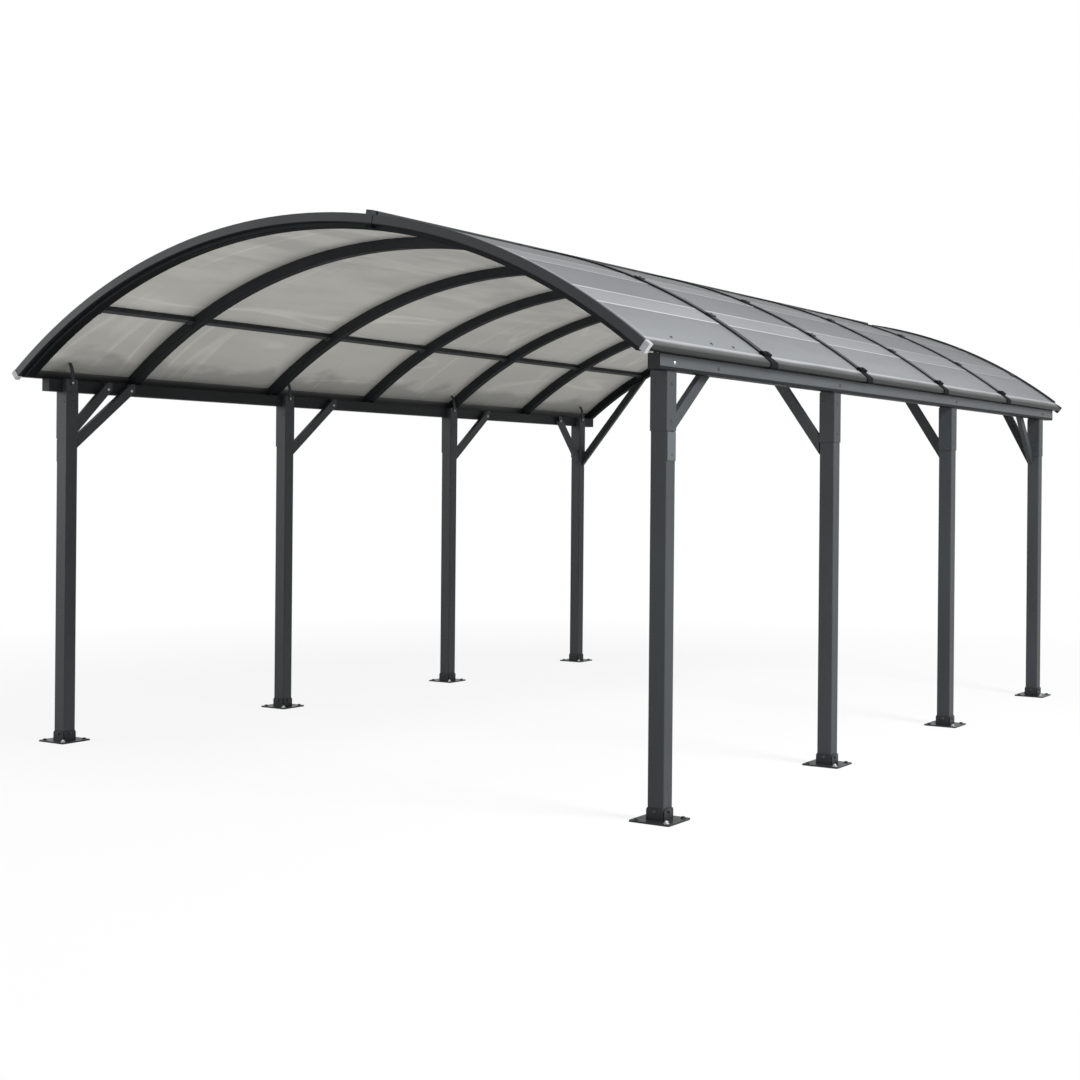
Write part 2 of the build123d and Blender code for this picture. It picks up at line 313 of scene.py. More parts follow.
def add_arch_block(bm, size, angle, y, radius, bevel):
    # block that stands on the arch of this radius
    add_block(bm, size, arch_matrix(angle, y, radius + size[2] / 2), bevel)


def hex_head(bm, matrix, across, height, washer):
    # hexagonal head with its top edge broken, on a round washer
    flange = across * 0.85
    disc = [(flange, 0.0), (flange, washer * 0.7), (flange * 0.94, washer)]
    add_turned(bm, disc, matrix, side_count=20)
    body = across / sqrt(3)
    head = [(body, 0.0), (body, height * 0.8), (body * 0.84, height)]
    add_turned(bm, head, matrix @ Matrix.Translation((0, 0, washer * 0.9)), side_count=6)


def button_head(bm, matrix, radius, height):
    # domed round head with a small flat top
    dome = [(radius * cos(a), height * sin(a)) for a in even_steps(0, pi / 2, 5)[:-1]]
    add_turned(bm, [*dome, (radius * 0.12, height)], matrix)


def facing(place, normal):
    # matrix whose local Z points along normal
    turn = Vector(normal).to_track_quat("Z", "Y").to_matrix().to_4x4()
    return Matrix.Translation(Vector(place)) @ turn


# Material tools
def scaled(colour, factor):
    return tuple(c * factor for c in colour)


def node_tree(name):
    material = bpy.data.materials.new(name)
    material.use_nodes = True
    tree = material.node_tree
    return material, tree, tree.nodes["Principled BSDF"]


def object_place(tree):
    return tree.nodes.new("ShaderNodeTexCoord").outputs["Object"]


def place_axes(tree):
    # the place on the object as separate X, Y and Z
    split = tree.nodes.new("ShaderNodeSeparateXYZ")
    tree.links.new(object_place(tree), split.inputs["Vector"])
    return split.outputs


def noise_node(tree, scale, detail, stretch=(1, 1, 1), rough=0.5):
    mapping = tree.nodes.new("ShaderNodeMapping")
    mapping.inputs["Scale"].default_value = stretch
    noise = tree.nodes.new("ShaderNodeTexNoise")
    noise.inputs["Scale"].default_value = scale
    noise.inputs["Detail"].default_value = detail
    noise.inputs["Roughness"].default_value = rough
    tree.links.new(object_place(tree), mapping.inputs["Vector"])
    tree.links.new(mapping.outputs["Vector"], noise.inputs["Vector"])
    return noise


def object_noise(tree, scale, detail, stretch=(1, 1, 1), rough=0.5):
    return noise_node(tree, scale, detail, stretch, rough).outputs["Fac"]


def ramp(tree, source, stops):
    # colour that follows (place, colour) stops
    node = tree.nodes.new("ShaderNodeValToRGB")
    elements = node.color_ramp.elements
    for element, (position, colour) in zip(elements, (stops[0], stops[-1])):
        element.position = position
        element.color = (*colour, 1)
    for position, colour in stops[1:-1]:
        elements.new(position).color = (*colour, 1)
    tree.links.new(source, node.inputs["Fac"])
    return node.outputs["Color"]


def number_range(tree, source, low, high, out_low, out_high):
    # low to high in the source become out_low to out_high, and stay there beyond
    node = tree.nodes.new("ShaderNodeMapRange")
    node.inputs["From Min"].default_value = low
    node.inputs["From Max"].default_value = high
    node.inputs["To Min"].default_value = out_low
    node.inputs["To Max"].default_value = out_high
    tree.links.new(source, node.inputs["Value"])
    return node.outputs["Result"]


def calculate(tree, operation, first, second=0.0):
    node = tree.nodes.new("ShaderNodeMath")
    node.operation = operation
    for socket, value in zip(node.inputs, (first, second)):
        if isinstance(value, (int, float)):
            socket.default_value = value
        else:
            tree.links.new(value, socket)
    return node.outputs["Value"]


def blend_colours(tree, factor, first, second):
    # colours are sockets or plain tuples
    node = tree.nodes.new("ShaderNodeMix")
    node.data_type = "RGBA"
    tree.links.new(factor, node.inputs["Factor"])
    for name, value in (("A", first), ("B", second)):
        socket = [s for s in node.inputs if s.name == name and s.type == "RGBA"][0]
        if isinstance(value, tuple):
            socket.default_value = (*value, 1)
        else:
            tree.links.new(value, socket)
    return [s for s in node.outputs if s.type == "RGBA"][0]


def vector_length(tree, vector):
    node = tree.nodes.new("ShaderNodeVectorMath")
    node.operation = "LENGTH"
    tree.links.new(vector, node.inputs[0])
    return node.outputs["Value"]


def arch_distance(tree, axes):
    # distance from the axis of the roof arch
    radial = tree.nodes.new("ShaderNodeCombineXYZ")
    tree.links.new(axes["X"], radial.inputs["X"])
    tree.links.new(calculate(tree, "SUBTRACT", axes["Z"], arch_centre), radial.inputs["Y"])
    return vector_length(tree, radial.outputs["Vector"])


def add_bump(tree, shader, height, strength, distance):
    bump = tree.nodes.new("ShaderNodeBump")
    bump.inputs["Strength"].default_value = strength
    bump.inputs["Distance"].default_value = distance
    tree.links.new(height, bump.inputs["Height"])
    tree.links.new(bump.outputs["Normal"], shader.inputs["Normal"])


# Materials of the frame
def powder_coat(name, colour, rough=0.5, shine=0.25, shade=None):
    # satin powder coat: faint cloudy tone, fine orange peel and a little dust
    # shade(tree) gives the share of painted shade by which a place is darkened and dulled
    material, tree, shader = node_tree(name)
    cloudy = object_noise(tree, scale=2.6, detail=3.0, stretch=(1, 1, 0.45))
    tone = ramp(tree, cloudy, [(0.35, scaled(colour, 0.86)), (0.65, scaled(colour, 1.16))])
    dust = object_noise(tree, scale=38.0, detail=5.0, rough=0.65)
    dust_share = number_range(tree, dust, 0.58, 0.8, 0.0, 0.16)
    dusty = tuple(c * 2.2 + 0.012 for c in colour)
    tone = blend_colours(tree, dust_share, tone, dusty)
    shader.inputs["Specular IOR Level"].default_value = shine
    if shade:
        share = shade(tree)
        tone = blend_colours(tree, share, tone, scaled(colour, 0.3))
        shaded_shine = number_range(tree, share, 0.0, 1.0, shine, 0.02)
        tree.links.new(shaded_shine, shader.inputs["Specular IOR Level"])
    tree.links.new(tone, shader.inputs["Base Color"])
    roughness = number_range(tree, cloudy, 0.3, 0.7, rough - 0.05, rough + 0.06)
    tree.links.new(roughness, shader.inputs["Roughness"])
    peel = object_noise(tree, scale=420.0, detail=2.0)
    add_bump(tree, shader, peel, strength=0.12, distance=0.0006)
    return material


def beyond(base, reaches):
    return [base + reach for reach in reaches]


def beam_foot_shade(tree):
    # painted shade on the underside and the lowest edge of the beam
    height = place_axes(tree)["Z"]
    return number_range(tree, height, *beyond(beam_low.z, beam_edge), 1.0, 0.0)


def fascia_foot_shade(tree):
    # painted shade on the underside and the lowest edge of the fascia
    distance = arch_distance(tree, place_axes(tree))
    return number_range(tree, distance, *beyond(roof_radius - fascia_deep, fascia_edge), 0.8, 0.0)


def rib_underside_shade(tree):
    # painted shade on the underside of the rib
    distance = arch_distance(tree, place_axes(tree))
    return number_range(tree, distance, *beyond(rib_inner, rib_edge), 0.85, 0.0)


def strip_material(name, colour, under):
    # joint strip: dark outside, and in the gap between two sheets painted as pale as the lit insides of the
    # sheets, in place of the shade there
    material = powder_coat(name, colour, rough=0.55, shine=0.15)
    tree = material.node_tree
    base = tree.nodes["Principled BSDF"].inputs["Base Color"]
    distance = arch_distance(tree, place_axes(tree))
    below = number_range(tree, distance, *beyond(sheet_top, strip_edge), 1.0, 0.0)
    tree.links.new(blend_colours(tree, below, base.links[0].from_socket, under), base)
    return material


def trim_material(name, steps):
    # coated eave trim with painted light: a painted highlight on its lip, and painted shade grading down
    # its round side to a dark foot
    material, tree, shader = node_tree(name)
    cloudy = object_noise(tree, scale=9.0, detail=3.0, stretch=(1, 0.3, 1))
    waver = number_range(tree, cloudy, 0.3, 0.7, -0.05, 0.05)
    height = number_range(tree, place_axes(tree)["Z"], trim_low.z, trim_high.z, 0.0, 1.0)
    stops = [(place, (tone, tone * 1.03, tone * 1.06)) for place, tone in steps]
    tone = ramp(tree, calculate(tree, "ADD", height, waver), stops)
    tree.links.new(tone, shader.inputs["Base Color"])
    shader.inputs["Roughness"].default_value = 0.45
    shader.inputs["Specular IOR Level"].default_value = 0.2
    peel = object_noise(tree, scale=420.0, detail=2.0)
    add_bump(tree, shader, peel, strength=0.1, distance=0.0005)
    return material


def moulded(name, colour, rough, back=None):
    # moulded plastic: fine grain, slightly uneven tone, and a darker colour painted in the back half as
    # shade where given
    material, tree, shader = node_tree(name)
    grain = object_noise(tree, scale=60.0, detail=3.0)
    tone = ramp(tree, grain, [(0.3, scaled(colour, 0.9)), (0.7, scaled(colour, 1.06))])
    if back:
        back_half_shade = number_range(tree, place_axes(tree)["Y"], -0.1, 0.1, 0.0, 1.0)
        tone = blend_colours(tree, back_half_shade, tone, back)
    tree.links.new(tone, shader.inputs["Base Color"])
    shader.inputs["Roughness"].default_value = rough
    shader.inputs["Specular IOR Level"].default_value = 0.15
    fine = object_noise(tree, scale=700.0, detail=1.0)
    add_bump(tree, shader, fine, strength=0.15, distance=0.0004)
    return material


def zinc(name):
    # bright zinc plate with a cloudy grey tone
    material, tree, shader = node_tree(name)
    cloudy = object_noise(tree, scale=240.0, detail=4.0)
    tone = ramp(tree, cloudy, [(0.3, (0.30, 0.31, 0.32)), (0.7, (0.55, 0.56, 0.57))])
    tree.links.new(tone, shader.inputs["Base Color"])
    shader.inputs["Metallic"].default_value = 0.75
    rough = number_range(tree, cloudy, 0.3, 0.7, 0.3, 0.5)
    tree.links.new(rough, shader.inputs["Roughness"])
    return material


# Material of the roof sheets
# colour of the painted highlight behind the front fascia
front_highlight_colour = (0.55, 0.56, 0.57)


def crease_lines(tree, stretch, seed, width, spacing=0.12):
    # painted light along creases: soft wandering lines, brightest where the noise crosses a level
    noise = noise_node(tree, scale=0.9, detail=2.0, stretch=stretch)
    noise.noise_dimensions = "4D"
    noise.inputs["W"].default_value = seed
    noise.inputs["Distortion"].default_value = 0.35
    folded = calculate(tree, "PINGPONG", noise.outputs["Fac"], spacing)
    return number_range(tree, folded, 0.0, width, 1.0, 0.0)


def front_highlight_share(tree, axes):
    # a painted highlight: a pale line behind the front fascia, right of the ridge
    share = number_range(tree, axes["Y"], *beyond(fascia_high.y, front_highlight_reach), 1.0, 0.0)
    fade_in = number_range(tree, axes["X"], *front_highlight_start_xs, 0.0, 0.9)
    fade_out = number_range(tree, axes["X"], *front_highlight_stop_xs, 1.0, 0.15)
    return calculate(tree, "MULTIPLY", calculate(tree, "MULTIPLY", share, fade_out), fade_in)


def outer_tone(tree, axes, soft, streak, outer, far_outer):
    # cool and streaked outside, with painted shade darker towards the ridge and a painted highlight behind
    # the front fascia
    tone = ramp(tree, soft, [(0.3, scaled(outer, 0.92)), (0.7, scaled(outer, 1.06))])
    if far_outer:
        far = number_range(tree, axes["Y"], *far_tone_ys, 0.0, 0.9)
        tone = blend_colours(tree, far, tone, far_outer)
    streaked = number_range(tree, streak, 0.42, 0.62, 0.0, 0.14)
    tone = blend_colours(tree, streaked, tone, scaled(outer, 0.5))
    # painted shade, darker towards the ridge
    upper = number_range(tree, axes["Z"], *slope_shade_heights, 0.0, 0.6)
    tone = blend_colours(tree, upper, tone, scaled(outer, 0.25))
    return blend_colours(tree, front_highlight_share(tree, axes), tone, front_highlight_colour)


def rib_and_eave_shade_share(tree, axes):
    # painted shade along the eaves and beside the ribs
    wander = object_noise(tree, scale=5.0, detail=4.0, stretch=(1, 0.5, 1))
    wander = number_range(tree, wander, 0.3, 0.7, -0.05, 0.05)
    height = calculate(tree, "ADD", axes["Z"], wander)
    share = number_range(tree, height, *eave_shade_heights, 0.0, 0.62)
    for rib_y in rib_ys:
        from_rib = calculate(tree, "SUBTRACT", axes["Y"], rib_y - rib_shade_shift)
        from_rib = calculate(tree, "ABSOLUTE", from_rib)
        beside = number_range(tree, from_rib, *rib_shade_reach, 0.5, 0.0)
        share = calculate(tree, "MAXIMUM", share, beside)
    return share


def inner_tone(tree, axes, soft, streak, inner):
    # inside painted warmer and brighter as light through the sheet, with painted light along soft creases,
    # streaks near the apex, and painted shade along the eaves and beside the ribs
    tone = ramp(tree, soft, [(0.25, scaled(inner, 0.9)), (0.75, scaled(inner, 1.08))])
    patch = object_noise(tree, scale=1.1, detail=2.0)
    along = crease_lines(tree, stretch=(2.0, 0.3, 2.0), seed=0.0, width=0.014)
    across = crease_lines(tree, stretch=(0.3, 1.5, 0.3), seed=3.7, width=0.012)
    for lines, patches, most in ((along, (0.42, 0.58), 0.45), (across, (0.58, 0.42), 0.35)):
        shown = number_range(tree, patch, *patches, 0.0, most)
        shown = calculate(tree, "MULTIPLY", lines, shown)
        tone = blend_colours(tree, shown, tone, scaled(inner, 1.5))
    high_up = number_range(tree, axes["Z"], *apex_tone_heights, 0.1, 0.5)
    streaked = number_range(tree, streak, 0.45, 0.6, 0.0, 1.0)
    streaked = calculate(tree, "MULTIPLY", streaked, high_up)
    tone = blend_colours(tree, streaked, tone, scaled(inner, 0.62))
    return blend_colours(tree, rib_and_eave_shade_share(tree, axes), tone, scaled(inner, 0.5))


def add_flutes(tree, shader, colour):
    # the walls between the channels of a twin-wall sheet, as fine waves in tone and relief
    wave = tree.nodes.new("ShaderNodeTexWave")
    wave.wave_type = "BANDS"
    wave.bands_direction = "Y"
    wave.inputs["Scale"].default_value = 20.0
    tree.links.new(object_place(tree), wave.inputs["Vector"])
    brightness = number_range(tree, wave.outputs["Fac"], 0.0, 1.0, 0.93, 1.03)
    fluted = tree.nodes.new("ShaderNodeVectorMath")
    fluted.operation = "SCALE"
    tree.links.new(colour, fluted.inputs[0])
    tree.links.new(brightness, fluted.inputs["Scale"])
    tree.links.new(fluted.outputs["Vector"], shader.inputs["Base Color"])
    add_bump(tree, shader, wave.outputs["Fac"], strength=0.25, distance=0.0012)


def sheet_material(name, outer, inner, far_outer=None):
    # twin-wall sheet with one look outside and another inside, told apart by the arch; the inside is
    # painted brighter and warmer as light that comes through the sheet
    material, tree, shader = node_tree(name)
    axes = place_axes(tree)
    soft = object_noise(tree, scale=1.3, detail=4.0, stretch=(1.0, 0.55, 1.0))
    streak = object_noise(tree, scale=5.0, detail=4.0, stretch=(1.3, 0.22, 1.3))
    half_way = sheet_top - sheet_thick / 2
    distance = arch_distance(tree, axes)
    outside = number_range(tree, distance, half_way - 0.001, half_way + 0.001, 0.0, 1.0)
    under_side = inner_tone(tree, axes, soft, streak, inner)
    upper_side = outer_tone(tree, axes, soft, streak, outer, far_outer)
    add_flutes(tree, shader, blend_colours(tree, outside, under_side, upper_side))
    shader.inputs["Roughness"].default_value = 0.5
    shader.inputs["Specular IOR Level"].default_value = 0.12
    shader.inputs["Alpha"].default_value = 0.96
    return material


anthracite = (0.030, 0.034, 0.037)
# insides of the sheets and bands, painted brighter and warmer than their outsides as light that comes
# through them
lit_sheet_inside = (0.55, 0.545, 0.51)
lit_band_inside = (0.5, 0.5, 0.48)
# Share of the height of the eave trim, and its grey there, painted light at the lip and painted shade
# towards the foot
trim_painted_light_steps = ((0.0, 0.005), (0.3, 0.012), (0.5, 0.028), (0.7, 0.07), (0.84, 0.24), (1.0, 0.28))

frame_coat = powder_coat("frame_coat", anthracite)
rib_coat = powder_coat("rib_coat", scaled(anthracite, 0.7), rough=0.55, shine=0.18, shade=rib_underside_shade)
# the end ribs have a darker copy of the rib coat, painted as shade
shaded_end_rib_colour = scaled(anthracite, 0.35)
shaded_end_rib_coat = powder_coat("shaded_end_rib_coat", shaded_end_rib_colour, rough=0.6, shine=0.08, shade=rib_underside_shade)
fascia_coat = powder_coat("fascia_coat", scaled(anthracite, 0.9), rough=0.5, shine=0.22, shade=fascia_foot_shade)
beam_coat = powder_coat("beam_coat", scaled(anthracite, 1.4), rough=0.45, shine=0.35, shade=beam_foot_shade)
shaded_beam_coat = powder_coat("shaded_beam_coat", scaled(anthracite, 0.4), rough=0.55, shine=0.15)
plate_coat = powder_coat("plate_coat", scaled(anthracite, 1.9), rough=0.45, shine=0.35)
bracket_coat = powder_coat("bracket_coat", scaled(anthracite, 0.22), rough=0.7, shine=0.04)
foot_coat = powder_coat("foot_coat", scaled(anthracite, 0.45), rough=0.4, shine=0.25)
dark_bolt = powder_coat("dark_bolt", scaled(anthracite, 0.6), rough=0.4, shine=0.4)
strip_coat = strip_material("strip_coat", scaled(anthracite, 0.75), lit_sheet_inside)
trim_painted_light_coat = trim_material("trim_painted_light_coat", trim_painted_light_steps)
zinc_plate = zinc("zinc_plate")
# the caps in the back half are painted dark as shade
pale_cap = moulded("pale_cap", (0.40, 0.41, 0.425), rough=0.5, back=(0.018, 0.020, 0.022))
end_plug = moulded("end_plug", (0.021, 0.023, 0.025), rough=0.55)
smoked_sheet = sheet_material("smoked_sheet_look", (0.185, 0.194, 0.204), lit_sheet_inside)
pale_band = sheet_material("pale_band_look", (0.26, 0.27, 0.28), lit_band_inside, (0.195, 0.204, 0.214))
pale_line = sheet_material("pale_line_look", (0.50, 0.51, 0.52), lit_band_inside, (0.22, 0.23, 0.24))


def dress(prefixes, material):
    for name, node in nodes.items():
        if name.startswith(prefixes):
            node.data.materials.clear()
            node.data.materials.append(material)


dress(("post_", "braces"), frame_coat)
dress(("rib_", "purlins"), rib_coat)
dress(("rib_1", "rib_7"), shaded_end_rib_coat)
dress(("fascia_front", "fascia_back", "ridge"), fascia_coat)
dress(("joint_strips",), strip_coat)
dress(("eave_beam_right",), beam_coat)
dress(("eave_beam_left",), shaded_beam_coat)
dress(("eave_trim",), trim_painted_light_coat)
dress(("foot_",), foot_coat)
dress(("fascia_end_caps",), pale_cap)
dress(("roof_sheets",), smoked_sheet)


# Feet: one zinc anchor at the corner that the photograph shows, dark anchors in the others, tab bolts
foot_centres = [(side * half_row, y) for side in sides for y in post_ys]


def zinc_anchors(bm):
    for x, y in foot_centres:
        turn = facing((x + anchor_reach, y - anchor_reach, plate_thick), (0, 0, 1))
        hex_head(bm, turn, *zinc_anchor_head)
        add_turned(bm, anchor_stud, turn)


def dark_anchors(bm):
    for x, y in foot_centres:
        for way_x, way_y in ((-1, -1), (1, 1), (-1, 1)):
            place = (x + way_x * anchor_reach, y + way_y * anchor_reach, plate_thick)
            hex_head(bm, facing(place, (0, 0, 1)), *dark_anchor_head)


def tab_bolts(bm):
    z = plate_thick + tab_bolt_height
    for x, y in foot_centres:
        for way_x, way_y in ((1, 0), (-1, 0), (0, 1), (0, -1)):
            place = (x + way_x * tab_out, y + way_y * tab_out, z)
            hex_head(bm, facing(place, (way_x, way_y, 0)), *tab_bolt_head)


new_piece("foot_anchors_zinc", zinc_anchors, zinc_plate)
new_piece("foot_anchors_dark", dark_anchors, dark_bolt)
new_piece("foot_tab_bolts", tab_bolts, dark_bolt)


# Roof: pale bands between the joint strips, their covers, clips, connectors, brackets and screws
def band_spans():
    # middle and length of each stretch of a band, clear of the covers and of both fascias
    clear = cover_width / 2 + band_cover_gap
    ends = back_low.y - band_end_gap + clear
    edges = [-ends, *joint_ys, ends]
    return [((near + far) / 2, far - near - 2 * clear) for near, far in zip(edges, edges[1:])]


def band_stretches():
    # side, distance from the middle, middle and length of every stretch of every band
    return [(side, x, y, length) for x in band_places for side in sides for y, length in band_spans()]


def pale_bands(bm):
    for side, x, y, length in band_stretches():
        across = even_steps(x - band_width / 2, x + band_width / 2, 6)
        path = arch_path([arch_angle(side * place) for place in across], y, sheet_top)
        add_band(bm, path, length, band_rise)


def pale_lines(bm):
    for side, x, y, length in band_stretches():
        size = (band_line, length, band_line_rise)
        for edge in (x - band_width / 2, x + band_width / 2):
            add_arch_block(bm, size, arch_angle(side * edge), y, sheet_top, bevel=0.0004)


def strip_covers(bm):
    # raised dark caps over the joint strips, from the ridge connectors to the eave brackets
    # near the apex the caps are thin, because the fascia is the highest line of the roof
    eave = arch_angle(eave_block_x)
    apex = arch_angle(thin_cover_end)
    runs = (
        (arch_angle(ridge_x + cover_ridge_gap), eave, cover_rise),
        (apex, -eave, cover_rise),
        (arch_angle(ridge_x - cover_ridge_gap), apex, thin_cover_rise),
    )
    for start, stop, thick in runs:
        for y in joint_ys:
            path = arch_path(even_steps(start, stop, 24), y, sheet_top)
            add_band(bm, path, cover_width, thick, strip_rise)


def strip_clips(bm):
    # screwed clips on the joint covers and at the back fascia, in line with the pale bands
    places = [(y, strip_rise + cover_rise) for y in joint_ys]
    places.append((back_low.y - clip_back_inset, strip_rise))
    for x in band_places:
        for side in sides:
            for y, lift in places:
                angle = arch_angle(side * x)
                base = sheet_top + lift
                add_arch_block(bm, clip_size, angle, y, base, bevel=0.0015)
                button_head(bm, arch_matrix(angle, y, base + clip_size[2]), *small_head)


def ridge_connectors(bm):
    # blocks on the joint strips at both sides of the ridge bar
    for y in joint_ys:
        for way in (-1, 1):
            angle = arch_angle(ridge_x) + way * connector_away / sheet_top
            add_arch_block(bm, connector_size, angle, y, sheet_top + strip_rise, bevel=0.002)


def trim_outline():
    # points on the eave trim from its lip over the round shoulder to its foot, with outward directions
    lip_radius = sheet_top + trim_lip
    shoulder_radius = lip_radius - trim_round
    start = arch_angle(trim_low.x - bracket_lip_reach, lip_radius)
    turn = asin((trim_high.x - trim_round) / shoulder_radius)
    shoulder = arch_place(turn, 0, shoulder_radius)
    foot = Vector((trim_high.x - trim_foot_round, 0, trim_low.z + trim_foot_round))
    path = arch_path(even_steps(start, turn, 6), 0, lip_radius)
    path += round_path(even_steps(turn, pi / 2, 5)[1:], shoulder, trim_round)
    path += round_path(even_steps(pi / 2, pi, 5), foot, trim_foot_round)
    path.append((Vector((trim_low.x + bracket_foot_reach, 0, trim_low.z)), Vector((0, 0, -1))))
    return path


def eave_brackets(bm):
    # a bent plate round the trim at each joint, with a screwed block at its upper end
    base = sheet_top + strip_rise
    for side in sides:
        angle = arch_angle(side * eave_block_x)
        for y in joint_ys:
            path = [(Vector((side * p.x, y, p.z)), Vector((side * n.x, 0, n.z))) for p, n in trim_outline()]
            add_band(bm, path, bracket_width, bracket_thick, bracket_gap)
            add_arch_block(bm, eave_block_size, angle, y, base, bevel=0.002)
            button_head(bm, arch_matrix(angle, y, base + eave_block_size[2]), *eave_block_head)


def eave_screws(bm):
    # three screws in the first sheet above the trim
    for side in sides:
        angle = arch_angle(side * (trim_low.x - eave_screw_inset))
        for y in eave_screw_ys:
            button_head(bm, arch_matrix(angle, y, sheet_top), *eave_screw_head)


def back_edge(bm):
    # low upstand along the top of the back fascia, right of the ridge
    start = arch_angle(ridge_x + upstand_ridge_gap)
    stop = arch_angle(trim_low.x)
    path = arch_path(even_steps(start, stop, 40), middle("fascia_back", along_y), roof_radius)
    add_band(bm, path, back_high.y - back_low.y, upstand_rise)


def purlin_brackets(bm):
    # flat brackets that carry the purlin ends beside the ribs, each with a screw from below
    slope = arch_angle(middle("purlins_right", along_x), sheet_top - purlin_deep)
    low_face = sheet_top - sheet_thick - purlin_gap - purlin_deep - purlin_bracket_size[2]
    away = rib_half_width + purlin_bracket_size[1] / 2
    for side in sides:
        for rib_y in rib_ys:
            for y in (rib_y - away, rib_y + away):
                if rib_ys[0] < y < rib_ys[-1]:
                    add_arch_block(bm, purlin_bracket_size, side * slope, y, low_face, bevel=0.001)
                    downward = Matrix.Rotation(pi, 4, "X")
                    button_head(bm, arch_matrix(side * slope, y, low_face) @ downward, *purlin_head)


def apex_plates(bm):
    # blocks under the ridge sleeves of both fascias
    under_sleeve = roof_radius - fascia_deep - ridge_sleeve_wall - bolted_gap
    low_face = under_sleeve - apex_plate_size[2]
    for y in (fascia_low.y + apex_plate_inset, back_high.y - apex_plate_inset):
        add_arch_block(bm, apex_plate_size, arch_angle(ridge_x), y, low_face, bevel=0.0015)


new_piece("roof_pale_bands", pale_bands, pale_band)
new_piece("roof_pale_lines", pale_lines, pale_line)
new_piece("joint_strip_covers", strip_covers, strip_coat)
new_piece("roof_strip_clips", strip_clips, dark_bolt)
new_piece("ridge_connectors", ridge_connectors, dark_bolt)
new_piece("eave_brackets", eave_brackets, bracket_coat)
new_piece("eave_screws", eave_screws, dark_bolt)
new_piece("apex_plates", apex_plates, bracket_coat)
new_piece("back_edge_upstand", back_edge, strip_coat)
new_piece("purlin_brackets", purlin_brackets, rib_coat)


# Beams, sleeves and braces: end plugs, plates and bolts
def beam_plugs(bm):
    size = (beam_high.x - beam_low.x, plug_thick, beam_high.z - beam_low.z)
    for side in sides:
        for y in (beam_low.y - plug_thick / 2, beam_high.y + plug_thick / 2):
            place = Matrix.Translation((side * beam_middle.x, y, beam_middle.z))
            add_block(bm, size, place, bevel=0.0012)


def beam_bolts(bm, ys):
    for side in sides:
        for y in ys:
            place = (side * beam_high.x, y, beam_middle.z)
            button_head(bm, facing(place, (side, 0, 0)), *beam_head)


def zinc_beam_bolts(bm):
    beam_bolts(bm, post_ys[:1])


def dark_beam_bolts(bm):
    beam_bolts(bm, [post_ys[0] + second_beam_bolt, *post_ys[1:]])


def sleeve_bolts(bm):
    # two bolts on the inner and on the outer face of every sleeve
    for side in sides:
        for y in post_ys:
            for z in (sleeve_high.z - sleeve_bolt_drop, sleeve_low.z + sleeve_bolt_lift):
                for way in (-1, 1):
                    place = (side * (half_row + way * sleeve_out), y, z)
                    button_head(bm, facing(place, (side * way, 0, 0)), *small_head)


def strap_bolts(bm):
    face = half_row - post_half - bolted_gap - strap_thick
    for side in sides:
        for y in post_ys:
            place = (side * face, y, beam_middle.z + strap_bolt_lift)
            button_head(bm, facing(place, (-side, 0, 0)), *small_head)


def post_top_bolts(bm):
    # on the front face of every post top and of the sleeve below it
    heights = (
        (beam_middle.z + post_top_bolt_lift, post_half),
        (sleeve_high.z - sleeve_bolt_drop, sleeve_out),
    )
    for side in sides:
        for y in post_ys:
            for z, out in heights:
                place = (side * (half_row - post_top_bolt_side), y - out, z)
                button_head(bm, facing(place, (0, -1, 0)), *post_top_head)


def brace_foot_plates(bm):
    # flat plates under the first sleeves, where the lengthwise brace ends, each with a bolt
    thick = foot_plate_size[0]
    inner_face = half_row + post_half + bolted_gap
    y = post_ys[0]
    for side in sides:
        centre = (side * (inner_face + thick / 2), y, sleeve_low.z - foot_plate_drop)
        add_block(bm, foot_plate_size, Matrix.Translation(centre), bevel=0.001)
        bolt_z = sleeve_low.z - foot_plate_bolt_drop
        place = (side * (inner_face + thick), y + foot_plate_bolt_side, bolt_z)
        button_head(bm, facing(place, (side, 0, 0)), *small_head)


def brace_bolts(bm):
    # at the upper end of each lengthwise brace, on its inner face; reach is its length along the beam
    face = beam_low.x - bolted_gap - brace_thick
    tops = [(left, row, long_brace) for row in (1, 2, 3)]
    tops += [(left, 1, short_brace), (left, 4, -back_brace)]
    tops += [(right, 1, long_brace), (right, 4, -back_brace)]
    for side, row, reach in tops:
        start = post_ys[row - 1] + (sleeve_out if reach > 0 else -sleeve_out)
        place = (side * face, start + reach, beam_middle.z - brace_bolt_drop)
        button_head(bm, facing(place, (-side, 0, 0)), *brace_head)


new_piece("beam_end_plugs", beam_plugs, end_plug, smooth=False)
new_piece("beam_bolts_zinc", zinc_beam_bolts, zinc_plate)
new_piece("beam_bolts_dark", dark_beam_bolts, dark_bolt)
new_piece("brace_foot_plates", brace_foot_plates, plate_coat)
new_piece("sleeve_bolts", sleeve_bolts, dark_bolt)
new_piece("strap_bolts", strap_bolts, zinc_plate)
new_piece("post_top_bolts", post_top_bolts, dark_bolt)
new_piece("brace_bolts", brace_bolts, zinc_plate)


# Floor, light and background
def seen_directly(tree):
    # 1 for rays from the camera, in a reflection or through a sheet
    path = tree.nodes.new("ShaderNodeLightPath")
    seen = calculate(tree, "MAXIMUM", path.outputs["Is Camera Ray"], path.outputs["Is Glossy Ray"])
    return calculate(tree, "MAXIMUM", seen, path.outputs["Is Transmission Ray"])


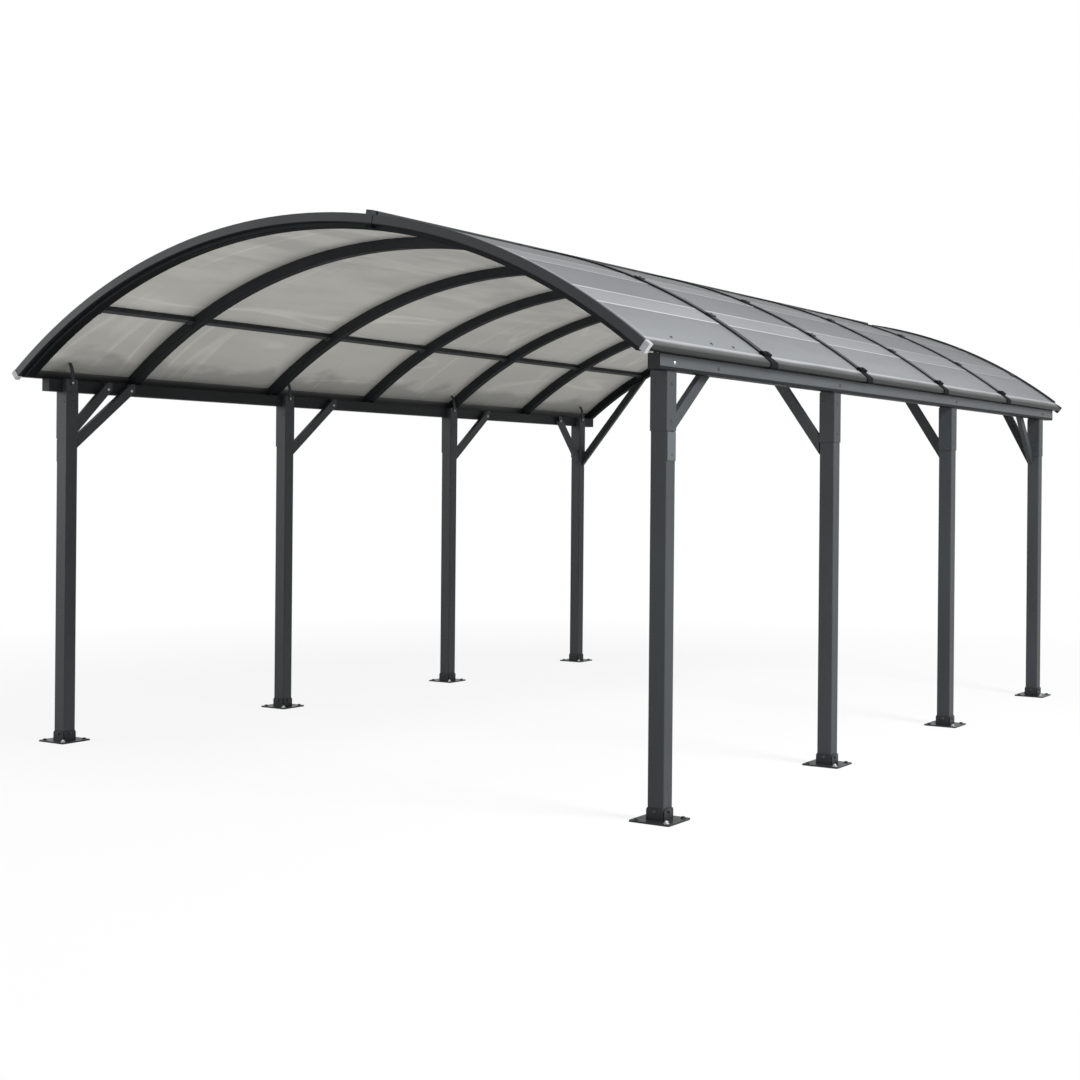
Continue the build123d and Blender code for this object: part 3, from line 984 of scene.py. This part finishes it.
def floor_material():
    # pale floor that keeps the shadow and, where it is seen, turns white away from the carport
    material, tree, shader = node_tree("pale_floor")
    shader.inputs["Base Color"].default_value = (0.86, 0.86, 0.86, 1)
    shader.inputs["Roughness"].default_value = 0.9
    shader.inputs["Specular IOR Level"].default_value = 0.0
    distance = vector_length(tree, object_place(tree))
    share = number_range(tree, distance, *floor_whitening, 0.86, 1.0)
    white = tree.nodes.new("ShaderNodeEmission")
    mixed = tree.nodes.new("ShaderNodeMixShader")
    tree.links.new(calculate(tree, "MULTIPLY", seen_directly(tree), share), mixed.inputs["Fac"])
    tree.links.new(shader.outputs["BSDF"], mixed.inputs[1])
    tree.links.new(white.outputs["Emission"], mixed.inputs[2])
    tree.links.new(mixed.outputs["Shader"], tree.nodes["Material Output"].inputs["Surface"])
    return material


def build_floor():
    bm = bmesh.new()
    corners = ((-1, -1), (1, -1), (1, 1), (-1, 1))
    bm.faces.new([bm.verts.new((x * floor_reach, y * floor_reach, -floor_drop)) for x, y in corners])
    mesh = bpy.data.meshes.new("floor")
    bm.to_mesh(mesh)
    bm.free()
    floor = bpy.data.objects.new("floor", mesh)
    bpy.context.scene.collection.objects.link(floor)
    mesh.materials.append(floor_material())


def build_world():
    world = bpy.data.worlds.new("studio")
    bpy.context.scene.world = world
    world.use_nodes = True
    tree = world.node_tree
    background = tree.nodes["Background"]
    strength = number_range(tree, seen_directly(tree), 0.0, 1.0, world_light, 1.0)
    background.inputs["Color"].default_value = (1, 1, 1, 1)
    tree.links.new(strength, background.inputs["Strength"])


def area_lamp(name, place, aim, size, power):
    data = bpy.data.lights.new(name, "AREA")
    data.size = size
    data.energy = power
    lamp = bpy.data.objects.new(name, data)
    lamp.matrix_world = facing(place, Vector(place) - Vector(aim))
    bpy.context.scene.collection.objects.link(lamp)


def build_camera():
    data = bpy.data.cameras.new("photo_camera")
    data.sensor_width = sensor_mm
    data.lens = sensor_mm * focal_px / image_side
    data.shift_y = (horizon_row - image_side / 2) / image_side
    data.clip_end = camera_clip_end
    camera = bpy.data.objects.new("photo_camera", data)
    upright = Matrix.Rotation(camera_turn, 4, "Z") @ Matrix.Rotation(pi / 2, 4, "X")
    roll = Matrix.Rotation(camera_roll, 4, "Z")
    camera.matrix_world = Matrix.Translation(camera_place) @ upright @ roll
    bpy.context.scene.collection.objects.link(camera)
    bpy.context.scene.camera = camera


build_floor()
build_world()
area_lamp("key", place=(10.0, -2.0, 6.5), aim=(1.9, 0.0, 1.2), size=4.0, power=1500)
area_lamp("fill", place=(-7.0, -8.5, 3.0), aim=(-1.9, -2.7, 1.2), size=3.0, power=260)
build_camera()
bpy.context.scene.view_settings.view_transform = "Standard"
